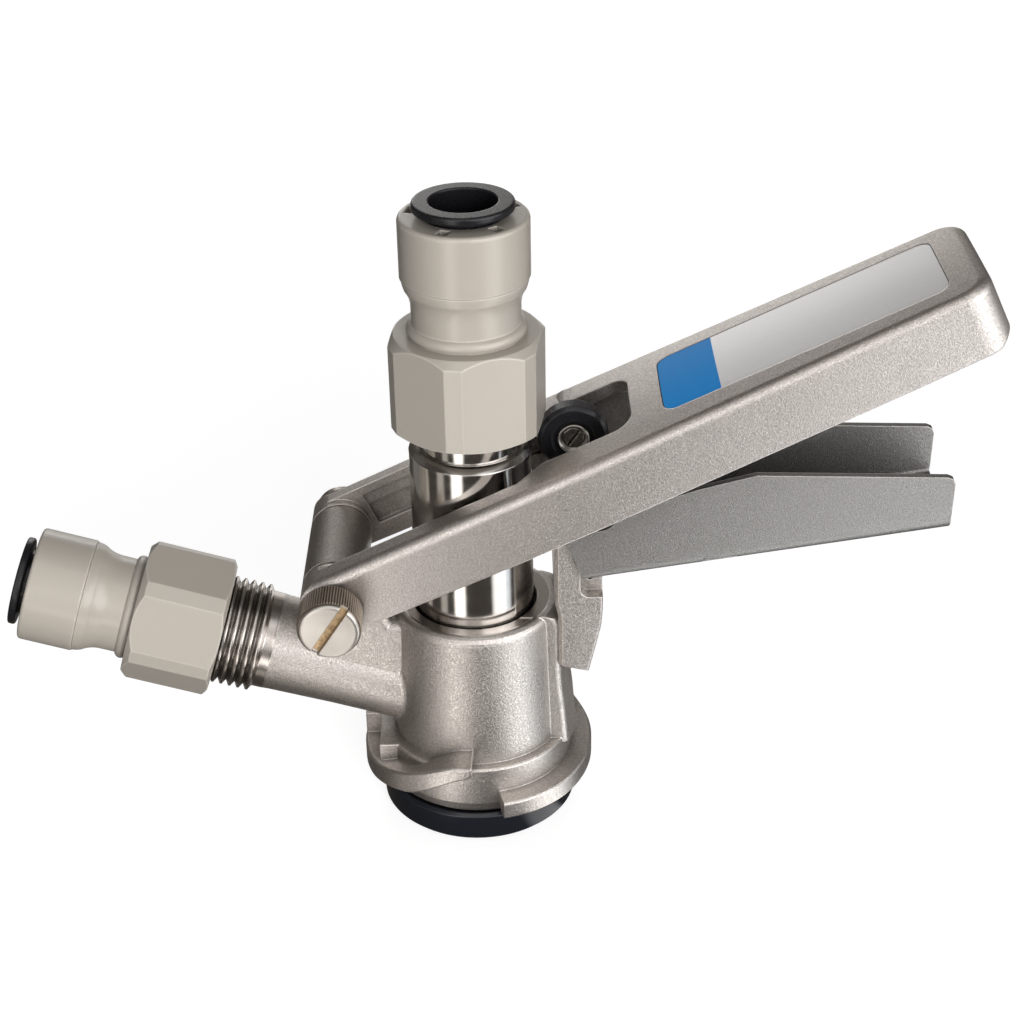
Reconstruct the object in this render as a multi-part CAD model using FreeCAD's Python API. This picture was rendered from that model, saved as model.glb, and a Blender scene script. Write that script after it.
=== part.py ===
"""Keg coupler with a cast lever, a sheet-steel lower grip and two push-in tube fittings.

Millimetres, +Z up along the probe. The origin is the centre of the black bottom
seal's lower face, +X points along the handles and +Y is the far side of the photo.
"""
import FreeCAD, Part
import math
import os

V = FreeCAD.Vector
Y_AXIS = V(0, 1, 0)
Z_AXIS = V(0, 0, 1)

# Clearances
RUN = 0.05            # radial gap of a running fit
GAP = 0.35            # gap between bodies that must not touch
SEAT = 0.02           # gap of a ball or ring resting on its seat
SNUG = 0.03           # radial gap of pieces pressed or screwed together

# Thread G5/8: outside radius, core radius and pitch
THREAD_R = 11.456
THREAD_CORE_R = 10.294
PITCH = 1.814

# Probe
PROBE_R = 12.4
PROBE_LOW_R = 11.6
PROBE_BORE_R = 4.6
PROBE_LOW_Z = 12.0
PROBE_STEP_Z = 21.0
PROBE_TOP_Z = 104.0
PROBE_THREAD_H = 14.3
PROBE_LIP_R = 10.9
PROBE_LIP_Z = PROBE_TOP_Z - PROBE_THREAD_H - 4.6
PROBE_SHOULDER_Z = PROBE_LIP_Z - 1.2
TIP_R = 10.4
TIP_BOTTOM_Z = 3.2

# Check ball in the probe's upper end
BALL_R = 4.5
BALL_ROOM_R = 5.6
BALL_SEAT_Z = PROBE_TOP_Z - 16.0
BALL_LIFT = 3.0

# Body barrel
BORE_R = 12.75
CHAMBER_R = 14.6
CHAMBER_TOP_Z = 33.0
BARREL_TOP_R = 17.4
BARREL_LOW_R = 18.1
BARREL_TOP_Z = 48.8
BARREL_TOP_ROUND = 1.9
FOOT_R = 20.25
FOOT_TOP_Z = 18.25
RIM_Z = 6.3

# Bottom seal and the lipped spigot that it grips
SEAL_R = 20.75
SEAL_H = 6.8
SEAL_FLOOR = 2.6
SEAL_BORE_R = SEAL_R - 7.35
RIM_R = SEAL_R - 2.35
LIP_R = SEAL_R - 3.25
SPIGOT_R = SEAL_R - 4.55
SPIGOT_WALL = 2.4

# Bayonet lugs: angle from the lug's start, lower and upper height
LUG_R = 24.6
LUG_START_DEG = -77.3
LUG_SPAN_DEG = 164.5
LUG_STEPS = ((0, 8.2, 12.3), (34, 8.1, 12.3), (60, 8.6, 12.9), (100, 9.3, 13.8), (115, 10.5, 15.2),
             (131, 12.2, 17.4), (143, 15.0, 19.6), (152, 17.2, 21.2), (160, 18.8, 21.8), (LUG_SPAN_DEG, 19.8, 21.9))

# Gas inlet, along an axis that rises to the left
INLET_Z = 24.8
INLET_DEG = 17.4
STUB_R = 9.9
STUB_ROUND = 1.8
STUB_BORE_R = 6.0
VALVE_ROOM_R = 8.3
STUB_THREAD_FROM = 47.3
STUB_TURNS = 5
STUB_END = 66.2
GAS_FIT_FROM = 56.1
GAS_FIT_SCALE = 0.93

# Top fitting, sizes along its own axis from the hexagon's lower end
TOP_FIT_Z = PROBE_TOP_Z - PROBE_THREAD_H
FIT_WASHER_H = 1.9
HEX_FLATS = 29.0
HEX_CORNER_R = 15.75
HEX_FACE_R = 14.35
HEX_H = 19.8
HEX_TURN_DEG = -9.4
NECK_R = 10.75
BULGE_R = 11.85
FLARE_ROUND = 7.0
COVER_R = 12.7
SEAM_Z = 31.4
COVER_TOP = 43.7
COVER_SLOTS = ((165, 3.6), (27, 3.6), (-52, 2.2), (-111, 2.2), (-3, 0.5))
COLLET_R = 9.9
COLLET_LOW = 44.8
COLLET_TOP = 46.5
TUBE_R = 6.45

# Lever hinge
PIVOT_X = -28.1
PIVOT_Z = 57.8
LEVER_DEG = 25.3
EYE_R = 6.5
PIN_R = 4.0
PIN_TAP_R = 2.5
BOSS_HALF = 11.1
BUSH_FLANGE = 1.0
BUSH_WALL = 1.0

# Lever, along its own length from the hinge
LEVER_TOP = 6.5
LEVER_LOW = -7.0
ARM_HALF = 19.2
END_HALF = 16.8
LEVER_LENGTH = 142.0
ARM_INNER = 14.0
WINDOW_HALF = 10.65
WINDOW_FROM = 49.0
WINDOW_TO = 69.6
WALL = 3.2
ROOF = 2.3
CROWN_R = 200.0
CROWN_RISE = 0.75
TRACK_DEEP = 1.4
STUD_S = 28.6
STUD_N = 2.6
STUD_R = 2.5
STUD_WALL = 1.5       # left in the arm outside the stud's blind hole
LABEL_FROM = 76.2
LABEL_TO = LEVER_LENGTH - 7.2
LABEL_HALF = 11.6
LABEL_DEEP = 0.5

# Post that stops the lever's roller and carries the lower grip
POST_HALF = 10.2
POST_LEFT = 16.5
POST_ROOT_X = 17.3
CHEEK_HALF = 9.2
POST_RIGHT = 26.4
POST_TOP_Z = 69.4
SCREW_Z = 63.3

# Stop roller on the lever
LEVER_TRAVEL = 0.2    # radians
ROLLER_S = 55.7
ROLLER_N = 3.4
ROLLER_R = 7.2
ROLLER_NEAR_Y = 0.5
ROLLER_W = 4.4
ROLLER_BOSS_R = 3.7
ROLLER_BUSH_R = 3.25
ROLLER_SCREW_R = 2.15

# Lower grip, bent sheet
SHEET = 1.5
GRIP_BACK_Z = 70.0
GRIP_END_X = 95.5
GRIP_END_Z = 69.1
GRIP_START_X = 23.1
GRIP_START_Z = 58.45

# Knurled screw
KNURL_R = 6.4
KNURL_LEN = 7.9
KNURL_RIBS = 72

os.makedirs("parts", exist_ok=True)


def save(name, shape):
    """Writes one node as a STEP file."""
    if shape.ShapeType == "Compound" and len(shape.Solids) == 1:
        shape = shape.Solids[0]
    shape.exportStep("parts/" + name + ".step")


def rod(radius, start, end):
    """Cylinder between two points."""
    axis = end - start
    return Part.makeCylinder(radius, axis.Length, start, axis)


def turned(points):
    """Solid of revolution about Z from (radius, height) points."""
    wire = Part.makePolygon([V(r, 0, z) for r, z in points] + [V(points[0][0], 0, points[0][1])])
    return Part.Face(wire).revolve(V(0, 0, 0), Z_AXIS, 360)


def arc_points(centre_r, centre_z, radius, start_deg, end_deg, steps):
    """Outline points along an arc of a turned profile."""
    points = []
    for step in range(steps + 1):
        angle = math.radians(start_deg + (end_deg - start_deg) * step / steps)
        points.append((centre_r + radius * math.cos(angle), centre_z + radius * math.sin(angle)))
    return points


def plate(points, y_low, y_high):
    """Prism from (x, z) points between two Y values."""
    wire = Part.makePolygon([V(x, y_low, z) for x, z in points] + [V(points[0][0], y_low, points[0][1])])
    return Part.Face(wire).extrude(V(0, y_high - y_low, 0))


def slab(points, z_low, z_high):
    """Prism from (x, y) points between two heights."""
    wire = Part.makePolygon([V(x, y, z_low) for x, y in points] + [V(points[0][0], points[0][1], z_low)])
    return Part.Face(wire).extrude(V(0, 0, z_high - z_low))


def block(x_low, x_high, y_low, y_high, z_low, z_high):
    """Box between limits."""
    return Part.makeBox(x_high - x_low, y_high - y_low, z_high - z_low, V(x_low, y_low, z_low))


def ring_of(outer, inner, z_low, z_high):
    """Plain ring about Z."""
    return turned([(inner, z_low), (outer, z_low), (outer, z_high), (inner, z_high)])


def o_ring(centre_r, cord_r, z, sides=10):
    """O-ring about Z, its round cord as a many-sided one."""
    return turned(arc_points(centre_r, z, cord_r, 0, 360 - 360 / sides, sides - 1))


def rounded(shape, radius, keep):
    """Rounds the straight or curved edges that the test picks."""
    edges = [edge for edge in shape.Edges if keep(edge)]
    return shape.makeFillet(radius, edges)


def along(edge, direction, tolerance=0.02):
    """True for a straight edge parallel to the direction."""
    if edge.Curve.TypeId != "Part::GeomLine":
        return False
    tangent = edge.tangentAt(edge.FirstParameter)
    return abs(abs(tangent.dot(direction)) - 1) < tolerance


def turn_y(shape, degrees, x=0.0, z=0.0):
    """Turns about Y through the origin, then moves in X and Z."""
    moved = shape.copy()
    moved.rotate(V(0, 0, 0), Y_AXIS, degrees)
    moved.translate(V(x, 0, z))
    return moved


def thread_points(z_low, turns, crest_r, core_r):
    """Outline of a V thread's crests, upwards from z_low."""
    points = []
    for turn in range(turns):
        base = z_low + turn * PITCH
        points.append((core_r, base))
        points.append((crest_r, base + 0.38 * PITCH))
        points.append((crest_r, base + 0.62 * PITCH))
    points.append((core_r, z_low + turns * PITCH))
    return points


def to_inlet(shape):
    """From upright on the origin to the gas inlet's axis."""
    return turn_y(shape, INLET_DEG - 90.0, 0.0, INLET_Z)


def to_lever(shape):
    """From the lever's own frame to its raised place on the hinge."""
    return turn_y(shape, -LEVER_DEG, PIVOT_X, PIVOT_Z)


def both_sides(shape):
    """The shape and its mirror across the middle plane."""
    return shape.fuse(shape.mirror(V(0, 0, 0), Y_AXIS))


def mirrored_pair(shape):
    """The shape and its mirror as two separate solids."""
    return Part.makeCompound([shape, shape.mirror(V(0, 0, 0), Y_AXIS)])


# Bottom seal: a lipped rubber ring held on the barrel's lower spigot
seal = turned([(SEAL_BORE_R, 0), (SEAL_R - 1.0, 0), (SEAL_R, 1.0),
               (SEAL_R, SEAL_H - 0.6), (SEAL_R - 0.6, SEAL_H), (RIM_R + 1.2, SEAL_H), (RIM_R, RIM_Z - SNUG),
               (SPIGOT_R + SNUG, RIM_Z - SNUG), (SPIGOT_R + SNUG, 4.6), (LIP_R + SNUG, 4.2),
               (LIP_R + SNUG, SEAL_FLOOR - SNUG), (SEAL_BORE_R, SEAL_FLOOR - SNUG)])
save("bottom_seal", seal)


# Body casting
def lug(start_deg):
    """One ramped bayonet lug, swept through its sections."""
    count = 24
    wires = []
    for index in range(count + 1):
        part = index / count * LUG_SPAN_DEG
        for low, high in zip(LUG_STEPS[:-1], LUG_STEPS[1:]):
            if low[0] <= part <= high[0]:
                share = (part - low[0]) / (high[0] - low[0])
                z_low = low[1] + share * (high[1] - low[1])
                z_high = low[2] + share * (high[2] - low[2])
        angle = math.radians(start_deg + part)
        section = [(16.5, z_low), (LUG_R - 0.4, z_low), (LUG_R, z_low + 0.4), (LUG_R, z_high - 0.4),
                   (LUG_R - 0.4, z_high), (16.5, z_high)]
        points = [V(r * math.cos(angle), r * math.sin(angle), z) for r, z in section]
        wires.append(Part.makePolygon(points + [points[0]]))
    return Part.makeLoft(wires, True, False)


barrel = turned([(0, SEAL_FLOOR), (LIP_R, SEAL_FLOOR), (LIP_R, 4.2), (SPIGOT_R, 4.6), (SPIGOT_R, RIM_Z),
                 (RIM_R, RIM_Z), (FOOT_R - 0.5, RIM_Z + 1.2), (FOOT_R, RIM_Z + 3.2), (FOOT_R, FOOT_TOP_Z - 0.4),
                 (FOOT_R - 0.4, FOOT_TOP_Z), (BARREL_LOW_R, FOOT_TOP_Z)]
                + arc_points(BARREL_TOP_R - BARREL_TOP_ROUND, BARREL_TOP_Z - BARREL_TOP_ROUND, BARREL_TOP_ROUND, 0, 90, 4)
                + [(15.0, BARREL_TOP_Z - 0.25), (0, BARREL_TOP_Z - 0.3)])
stub_points = ([(0, 8.0), (STUB_R, 8.0), (STUB_R, 30.0), (STUB_R + 0.25, 43.5), (THREAD_CORE_R, 45.5)]
               + thread_points(STUB_THREAD_FROM, STUB_TURNS, THREAD_R, THREAD_CORE_R)
               + [(THREAD_R, STUB_THREAD_FROM + (STUB_TURNS + 0.4) * PITCH), (THREAD_R, STUB_END - 1.0),
                  (THREAD_CORE_R, STUB_END), (0, STUB_END)])
core = barrel.fuse(to_inlet(turned(stub_points))).removeSplitter()
core = rounded(core, STUB_ROUND, lambda edge: -BARREL_LOW_R - 1 < edge.CenterOfMass.x < -STUB_R
               and edge.BoundBox.ZMin > FOOT_TOP_Z + 0.7 and edge.BoundBox.ZLength > STUB_R)
bracket = plate([(PIVOT_X - 5.6, PIVOT_Z - 2.0), (PIVOT_X - 5.8, 50.0), (-37.0, 40.0), (-33.0, 30.0),
                 (-12.0, 28.0), (-12.0, 47.0), (-17.2, 47.4), (PIVOT_X + 6.2, PIVOT_Z - 1.0)], -8.6, 8.6)
bracket = rounded(bracket, 2.2, lambda edge: not along(edge, Y_AXIS) and edge.CenterOfMass.x < -14)
boss = rod(EYE_R, V(PIVOT_X, -BOSS_HALF, PIVOT_Z), V(PIVOT_X, BOSS_HALF, PIVOT_Z))

# Two square steps under the inlet, level with the foot's ledge
steps = [block(-20.9, -10.0, -10.8, 10.8, 10.0, FOOT_TOP_Z),
         block(-24.4, -10.0, 1.0, 10.8, 10.0, FOOT_TOP_Z).common(Part.makeCylinder(LUG_R - 0.1, 30.0))]

# The barrel is thicker where it carries the post
cheek = turned([(0, 17.0), (21.2, 17.0), (20.5, 26.5), (20.0, 31.0), (19.7, 38.0), (19.7, 46.5), (19.0, 48.1),
                (17.0, BARREL_TOP_Z), (0, BARREL_TOP_Z)])
cheek = cheek.common(block(2.0, 30.0, -CHEEK_HALF, CHEEK_HALF, 17.0, BARREL_TOP_Z))
cheek = rounded(cheek, 1.5, lambda edge: abs(edge.CenterOfMass.y) > CHEEK_HALF - 0.1 and edge.CenterOfMass.x > 16.5
                and edge.CenterOfMass.z > 18)
post = plate([(POST_ROOT_X, 37.4), (23.6, 35.9), (24.9, 41.5), (26.1, 47.0), (POST_RIGHT, 51.0),
              (POST_RIGHT, POST_TOP_Z), (POST_LEFT + 1.0, POST_TOP_Z), (POST_LEFT, POST_TOP_Z - 1.0),
              (POST_LEFT, 52.6), (POST_ROOT_X, 48.9)],
             -POST_HALF, POST_HALF)
post_edges = [edge for edge in post.Edges if edge.CenterOfMass.x < 17.6 and edge.CenterOfMass.z < POST_TOP_Z - 1
              and not along(edge, Y_AXIS)]
post = post.makeChamfer(0.8, post_edges)
post = rounded(post, 0.5, lambda edge: not along(edge, Y_AXIS) and edge.CenterOfMass.x > 23
               and edge.CenterOfMass.z < POST_TOP_Z - 3)
closed = math.radians(LEVER_DEG) - LEVER_TRAVEL
saddle_x = PIVOT_X + ROLLER_S * math.cos(closed) - ROLLER_N * math.sin(closed)
saddle_z = PIVOT_Z + ROLLER_S * math.sin(closed) + ROLLER_N * math.cos(closed)
saddle = rod(ROLLER_R + GAP, V(saddle_x, -20, saddle_z), V(saddle_x, 20, saddle_z))
notch = block(21.8, 30.0, -POST_HALF - 1.0, -POST_HALF + 3.0, 54.0, 66.0)
notch = rounded(notch, 1.8, lambda edge: along(edge, Y_AXIS) and edge.CenterOfMass.z < 60
                and edge.CenterOfMass.x < 25)
body = core.fuse([bracket, boss, cheek, post, lug(LUG_START_DEG), lug(LUG_START_DEG + 180)] + steps)
mouth_r = SPIGOT_R - SPIGOT_WALL
bore = turned([(0, 0), (mouth_r, 0), (mouth_r, 8.0), (CHAMBER_R, 9.0),
               (CHAMBER_R, CHAMBER_TOP_Z - 2.0), (BORE_R, CHAMBER_TOP_Z), (BORE_R, BARREL_TOP_Z - 0.6),
               (BORE_R + 0.4, BARREL_TOP_Z), (BORE_R + 0.4, 60.0), (0, 60.0)])
groove_low = ring_of(CHAMBER_R, 5.0, 37.0, 39.6)
groove_high = ring_of(CHAMBER_R - 0.4, 5.0, 43.0, 46.4)
gas_way = to_inlet(turned([(0, 0), (STUB_BORE_R, 0), (STUB_BORE_R, 54.0), (VALVE_ROOM_R, 54.0),
                           (VALVE_ROOM_R, STUB_END + 1), (0, STUB_END + 1)]))
pin_way = rod(PIN_R, V(PIVOT_X, -20, PIVOT_Z), V(PIVOT_X, 20, PIVOT_Z))
notch_far = notch.mirror(V(0, 0, 0), Y_AXIS)
notch_hole = rod(0.7, V(23.8, -9, 57.2), V(23.8, 9, 57.2))
grip_holes = [rod(1.25, V(POST_RIGHT - 7, y, SCREW_Z), V(POST_RIGHT + 1, y, SCREW_Z)) for y in (-4.6, 4.6)]
body = body.cut([bore, groove_low, groove_high, gas_way, pin_way, saddle, notch, notch_far, notch_hole]
                + grip_holes)
save("body_casting", body.removeSplitter())

# Guide ring and O-ring that hold the probe in the barrel
save("barrel_guide_ring", turned([(PROBE_R + RUN, 43.1), (CHAMBER_R - 0.4, 43.1), (CHAMBER_R - 0.4, 46.3),
                                  (PROBE_R + RUN + 0.3, 46.3), (PROBE_R + RUN, 46.0)]))
save("barrel_o_ring", o_ring(PROBE_R + RUN + 1.05, 1.05, 38.3))

# Probe: a thick tube with a pocket on each side for the lever's studs
stud_x = PIVOT_X + STUD_S * math.cos(math.radians(LEVER_DEG)) - STUD_N * math.sin(math.radians(LEVER_DEG))
stud_z = PIVOT_Z + STUD_S * math.sin(math.radians(LEVER_DEG)) + STUD_N * math.cos(math.radians(LEVER_DEG))
POCKET_R = STUD_R + 0.55
POCKET_HALF = 3.4
probe = turned([(PROBE_BORE_R, PROBE_LOW_Z), (PROBE_LOW_R - 0.4, PROBE_LOW_Z), (PROBE_LOW_R, PROBE_LOW_Z + 0.4),
                (PROBE_LOW_R, PROBE_STEP_Z), (PROBE_R, PROBE_STEP_Z + 1.2), (PROBE_R, PROBE_SHOULDER_Z),
                (PROBE_LIP_R + 0.5, PROBE_LIP_Z - 0.3), (PROBE_LIP_R, PROBE_LIP_Z),
                (THREAD_CORE_R, PROBE_LIP_Z), (THREAD_CORE_R, TOP_FIT_Z + 1.4), (THREAD_R, TOP_FIT_Z + 2.6),
                (THREAD_R, PROBE_TOP_Z - 1.0), (THREAD_CORE_R, PROBE_TOP_Z), (BALL_ROOM_R, PROBE_TOP_Z),
                (BALL_ROOM_R, BALL_SEAT_Z + 2.2), (3.4, BALL_SEAT_Z), (3.4, BALL_SEAT_Z - 3.0),
                (PROBE_BORE_R, BALL_SEAT_Z - 4.0)])
pocket = rod(POCKET_R, V(-POCKET_HALF, -20, stud_z), V(-POCKET_HALF, -8.6, stud_z))
pocket = pocket.fuse(rod(POCKET_R, V(POCKET_HALF, -20, stud_z), V(POCKET_HALF, -8.6, stud_z)))
pocket = pocket.fuse(block(-POCKET_HALF, POCKET_HALF, -20, -8.6, stud_z - POCKET_R, stud_z + POCKET_R))
probe = probe.cut([pocket, pocket.mirror(V(0, 0, 0), Y_AXIS)])
tip_thread = ring_of(7.2, PROBE_BORE_R - 1, PROBE_LOW_Z - 1, PROBE_LOW_Z + 7.0)
probe = probe.cut(tip_thread)
save("probe_tube", probe)

# Probe tip with its seal, screwed into the lower end
save("probe_tip", turned([(3.6, TIP_BOTTOM_Z), (7.6, TIP_BOTTOM_Z), (8.4, TIP_BOTTOM_Z + 0.8), (8.4, 9.4),
                          (TIP_R, 9.4), (TIP_R, PROBE_LOW_Z - SNUG), (7.2 - SNUG, PROBE_LOW_Z - SNUG),
                          (7.2 - SNUG, PROBE_LOW_Z + 6.8),
                          (PROBE_BORE_R, PROBE_LOW_Z + 6.8), (PROBE_BORE_R, 8.0), (3.6, 6.6)]))
save("probe_tip_seal", turned([(8.4 + SNUG, 4.8), (10.0, 4.8), (10.9, 5.6), (10.9, 9.0), (10.4, 9.4 - SNUG), (8.4 + SNUG, 9.4 - SNUG)]))

# Check ball and the cage that stops it
seat_angle = math.atan2(BALL_ROOM_R - 3.4, 2.2)
ball_z = BALL_SEAT_Z + (BALL_R + SEAT) / math.sin(seat_angle) - 3.4 / math.tan(seat_angle)
save("check_ball", Part.makeSphere(BALL_R, V(0, 0, ball_z)))
cage_z = ball_z + BALL_R + BALL_LIFT + 0.4
cage = turned([(1.6, cage_z), (BALL_ROOM_R, cage_z), (BALL_ROOM_R, PROBE_TOP_Z - 0.3), (1.6, PROBE_TOP_Z - 0.3)])
cage_ways = []
for step in range(4):
    way = block(2.6, 4.6, -1.3, 1.3, cage_z - 1, PROBE_TOP_Z + 1)
    way.rotate(V(0, 0, 0), Z_AXIS, 90 * step)
    cage_ways.append(way)
save("ball_cage", cage.cut(cage_ways))


# Push-in tube fitting: hexagon body, cover, collet, O-ring and flat washer
def hexagon(k, z_low, z_high):
    """Hexagonal prism with flattened corners and turned-off ends."""
    flat = HEX_FLATS * k / 2
    corner = flat / math.cos(math.radians(30))
    points = []
    for step in range(6):
        angle = math.radians(60 * step - 90 + HEX_TURN_DEG)
        points.append((corner * math.cos(angle), corner * math.sin(angle)))
    prism = slab(points, z_low, z_high)
    flattened = []
    reach = HEX_CORNER_R * k
    for step in range(6):
        cutter = block(reach, reach + 5, -6, 6, z_low - 1, z_high + 1)
        cutter.rotate(V(0, 0, 0), Z_AXIS, 60 * step - 90 + HEX_TURN_DEG)
        flattened.append(cutter)
    prism = prism.cut(flattened)
    beyond = (HEX_CORNER_R + 0.6) * k
    slope = beyond - HEX_FACE_R * k
    return prism.common(turned([(0, z_low), (HEX_FACE_R * k, z_low), (beyond, z_low + 0.58 * slope),
                                (beyond, z_high - slope), (HEX_FACE_R * k, z_high), (0, z_high)]))


def fitting_body(k):
    """Hexagon and neck with the thread bore below and the tube bore above."""
    profile = ([(0, 10.0), (13.0, 10.0), (13.0, 19.0), (BULGE_R - 0.5, 19.0)]
               + arc_points(BULGE_R - 1.45, HEX_H + 0.9, 1.45, -42, 76, 6)
               + arc_points(NECK_R + FLARE_ROUND, 25.4, FLARE_ROUND, 180, 145, 5)
               + [(12.3, 30.4), (12.45, SEAM_Z), (11.0, SEAM_Z), (11.0, 39.0), (0, 39.0)])
    turned_part = turned([(r * k, z * k) for r, z in profile])
    solid = hexagon(k, 0, HEX_H * k).fuse(turned_part)
    deep = PROBE_THREAD_H + FIT_WASHER_H
    room = turned([(0, -1), (THREAD_R + 0.6, -1), (THREAD_R + 0.1, 0.9), (THREAD_R + 0.1, deep),
                   (7.0 * k, deep), (5.2 * k, deep + 1.4), (5.2 * k, 21.0 * k), (TUBE_R * k, 21.0 * k),
                   (TUBE_R * k, 27.4 * k), (8.6 * k, 27.4 * k), (8.6 * k, 40.0 * k), (0, 40.0 * k)])
    return solid.cut(room)


def fitting_cover(k):
    """Cap that keeps the collet in, with small slots in its top."""
    shell = turned([(11.0 * k + SNUG, SEAM_Z * k + 0.05), ((COVER_R - 0.15) * k, SEAM_Z * k + 0.05),
                    (COVER_R * k, SEAM_Z * k + 0.3)]
                   + arc_points((COVER_R - 0.8) * k, (COVER_TOP - 0.8) * k, 0.8 * k, 0, 90, 3)
                   + [(7.9 * k, COVER_TOP * k), (7.7 * k, (COVER_TOP - 0.4) * k), (7.7 * k, 41.4 * k),
                      (8.6 * k, 39.0 * k + SNUG), (11.0 * k + SNUG, 39.0 * k + SNUG)])
    slots = []
    for degrees, width in COVER_SLOTS:
        slot = block(8.8 * k, 11.3 * k, -width * k / 2, width * k / 2, (COVER_TOP - 1.3) * k, (COVER_TOP + 1) * k)
        slot.rotate(V(0, 0, 0), Z_AXIS, degrees)
        slots.append(slot)
    return shell.cut(slots)


def fitting_collet(k):
    """Sprung sleeve with a flange to press it in and gripping fingers below."""
    inner = (TUBE_R + 0.1) * k
    sleeve = turned([(inner, 32.7 * k), (8.0 * k, 32.7 * k), (8.18 * k, 33.4 * k), (8.18 * k, 37.0 * k),
                     (7.3 * k, 39.6 * k), (7.3 * k, COLLET_LOW * k)]
                    + arc_points((COLLET_R - 0.5) * k, (COLLET_LOW + 0.5) * k, 0.5 * k, -90, 0, 3)
                    + arc_points((COLLET_R - 0.5) * k, (COLLET_TOP - 0.5) * k, 0.5 * k, 0, 90, 3)
                    + [(inner + 0.2, COLLET_TOP * k), (inner, (COLLET_TOP - 0.2) * k)])
    slots = []
    for step in range(3):
        slot = block(-12, 12, -0.6, 0.6, 30 * k, 40.5 * k)
        slot.rotate(V(0, 0, 0), Z_AXIS, 60 * step + 10)
        slots.append(slot)
    return sleeve.cut(slots)


def fitting_o_ring(k):
    """Seal around the tube."""
    cord = 1.0 * k
    return o_ring((8.6 - 1.05) * k, cord, 28.5 * k)


def fitting_grip_ring(k):
    """Washer between the O-ring and the collet's fingers."""
    return turned([((TUBE_R + 0.2) * k, 29.7 * k), (8.55 * k, 29.7 * k), (8.55 * k, 31.6 * k),
                   (7.6 * k, 31.6 * k), ((TUBE_R + 0.2) * k, 30.6 * k)])


def fitting_washer(low, high):
    """Flat washer between the threaded end and the fitting."""
    return ring_of(THREAD_CORE_R, BALL_ROOM_R + 0.6, low, high)


def at_top(shape):
    """From the fitting's own frame to the probe's top."""
    return turn_y(shape, 0.0, 0.0, TOP_FIT_Z)


def at_gas(shape):
    """From the fitting's own frame to the gas inlet."""
    moved = shape.copy()
    moved.translate(V(0, 0, GAS_FIT_FROM))
    return to_inlet(moved)


for name, place, k in (("top", at_top, 1.0), ("gas", at_gas, GAS_FIT_SCALE)):
    save(name + "_fitting_body", place(fitting_body(k)))
    save(name + "_fitting_cover", place(fitting_cover(k)))
    save(name + "_fitting_collet", place(fitting_collet(k)))
    save(name + "_fitting_o_ring", place(fitting_o_ring(k)))
    save(name + "_fitting_spacer", place(fitting_grip_ring(k)))
save("top_flat_washer", at_top(fitting_washer(PROBE_THREAD_H, PROBE_THREAD_H + FIT_WASHER_H)))

# Gas check valve: rubber bill and the ring that holds it in the stub's end
bill = turned([(3.2, 0), (VALVE_ROOM_R - 0.1, 0), (VALVE_ROOM_R - 0.1, 1.6), (5.4, 1.6), (5.4, 4.0),
               (1.4, 9.0), (0.9, 9.0), (3.2, 3.4)])
bill.rotate(V(0, 0, 0), V(1, 0, 0), 180)
bill.translate(V(0, 0, 64.0))
save("gas_check_valve", to_inlet(bill))
save("gas_valve_ring", to_inlet(turned([(4.2, 64.0), (VALVE_ROOM_R, 64.0), (VALVE_ROOM_R, STUB_END - 0.1),
                                        (5.4, STUB_END - 0.1), (4.2, 65.2)])))
save("gas_valve_spacer", to_inlet(turned([(6.2, 54.0), (VALVE_ROOM_R, 54.0), (VALVE_ROOM_R, 62.4),
                                          (6.2, 62.4)])))
save("gas_flat_washer", to_inlet(fitting_washer(STUB_END, GAS_FIT_FROM + PROBE_THREAD_H + FIT_WASHER_H)))

# Hinge: pin with a far head, knurled slotted screw, flanged bushes
pin = rod(PIN_R, V(PIVOT_X, -ARM_HALF - GAP, PIVOT_Z), V(PIVOT_X, ARM_HALF + GAP, PIVOT_Z))
head = rod(5.9, V(PIVOT_X, ARM_HALF + GAP, PIVOT_Z), V(PIVOT_X, ARM_HALF + GAP + 1.9, PIVOT_Z))
head = rounded(head, 0.6, lambda edge: edge.CenterOfMass.y > ARM_HALF + GAP + 1 and edge.Length > 10)
pin_tap = rod(PIN_TAP_R, V(PIVOT_X, -ARM_HALF - GAP, PIVOT_Z), V(PIVOT_X, -6, PIVOT_Z))
save("pivot_pin", pin.fuse(head).cut(pin_tap).removeSplitter())

teeth = []
for step in range(2 * KNURL_RIBS):
    angle = math.pi * step / KNURL_RIBS
    radius = KNURL_R if step % 2 == 0 else KNURL_R - 0.25
    teeth.append((radius * math.cos(angle), radius * math.sin(angle)))
knurl = slab(teeth, 0.5, KNURL_LEN - 1.0)
knurl = knurl.fuse(turned([(0, 0), (KNURL_R - 0.6, 0), (KNURL_R - 0.3, 0.4)]
                          + arc_points(KNURL_R - 1.1, KNURL_LEN - 0.8, 0.8, 0, 90, 3) + [(0, KNURL_LEN)]))
slot = block(-10, 10, -0.85, 0.85, KNURL_LEN - 1.6, KNURL_LEN + 1)
slot.rotate(V(0, 0, 0), Z_AXIS, 56.4)
knurl = knurl.cut(slot).fuse(Part.makeCylinder(PIN_TAP_R - SNUG, 11.0, V(0, 0, -11.0)))
knurl.rotate(V(0, 0, 0), V(1, 0, 0), 90)
knurl.translate(V(PIVOT_X, -ARM_HALF - GAP, PIVOT_Z))
save("pivot_screw", knurl)

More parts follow.
